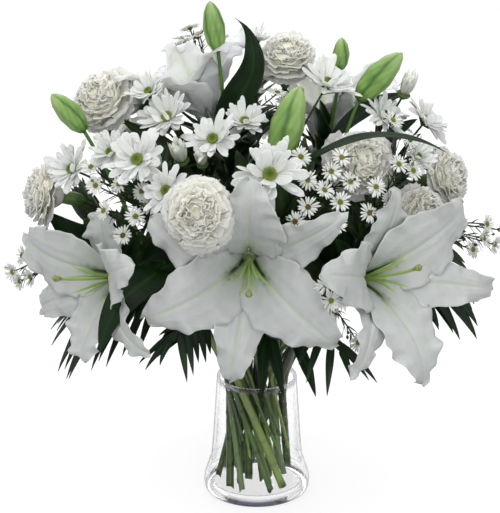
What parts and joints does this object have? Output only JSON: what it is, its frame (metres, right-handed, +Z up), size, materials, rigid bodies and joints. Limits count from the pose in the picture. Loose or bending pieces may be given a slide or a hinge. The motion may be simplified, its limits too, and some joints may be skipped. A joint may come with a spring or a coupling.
{
  "type": "lilies in a vase",
  "caption": "Domed bouquet of white lilies, carnations, daisy chrysanthemums and asters with palm leaves, standing in a flared clear glass vase of water.",
  "frame": {"origin": "middle of the underside of the vase's foot", "axes": "+Z up, +X to the right as seen from the front, -Y towards the front, where the largest lily looks"},
  "size_m": [0.4992, 0.383, 0.5018],
  "materials": {
    "glass": "clear polished glass",
    "water": "clear water",
    "lily_petal": "smooth matt white petal",
    "lily_pistil": "smooth pale green",
    "lily_green": "satin green stem, leaf and bud",
    "carnation_petal": "matt cream petal",
    "carnation_green": "waxy grey-green stem",
    "daisy": "matt white petal on a green stem",
    "aster": "matt white petal on a thin green stem",
    "frond": "dark green leaf, slightly glossy",
    "long_leaf": "dark green glossy leaf"
  },
  "bodies": {
    "root": {"vase": "glass", "water": "water", "lily_1_stem": "lily_green", "lily_1_heart": "lily_pistil", "lily_1": "lily_petal", "lily_2_stem": "lily_green", "lily_2_heart": "lily_pistil", "lily_2": "lily_petal", "lily_3_stem": "lily_green", "lily_3_heart": "lily_pistil", "lily_3": "lily_petal", "lily_4_stem": "lily_green", "lily_4_heart": "lily_pistil", "lily_4": "lily_petal", "lily_5_stem": "lily_green", "lily_5_heart": "lily_pistil", "lily_5": "lily_petal", "lily_6_stem": "lily_green", "lily_6_heart": "lily_pistil", "lily_6": "lily_petal", "carnation_1_stem": "carnation_green", "carnation_1": "carnation_petal", "carnation_2_stem": "carnation_green", "carnation_2": "carnation_petal", "carnation_3_stem": "carnation_green", "carnation_3": "carnation_petal", "carnation_4_stem": "carnation_green", "carnation_4": "carnation_petal", "carnation_5_stem": "carnation_green", "carnation_5": "carnation_petal", "carnation_6_stem": "carnation_green", "carnation_6": "carnation_petal", "carnation_7_stem": "carnation_green", "carnation_7": "carnation_petal", "carnation_8_stem": "carnation_green", "carnation_8": "carnation_petal", "carnation_9_stem": "carnation_green", "carnation_9": "carnation_petal", "daisy_spray_1": "daisy", "daisy_spray_2": "daisy", "daisy_spray_3": "daisy", "daisy_spray_4": "daisy", "daisy_spray_5": "daisy", "aster_spray_1": "aster", "aster_spray_2": "aster", "aster_spray_3": "aster", "aster_spray_4": "aster", "aster_spray_5": "aster", "aster_spray_6": "aster", "aster_spray_7": "aster", "frond_1": "frond", "frond_2": "frond", "frond_3": "frond", "frond_4": "frond", "frond_5": "frond", "long_leaf_1": "long_leaf", "long_leaf_2": "long_leaf"}
  },
  "joints": []
}
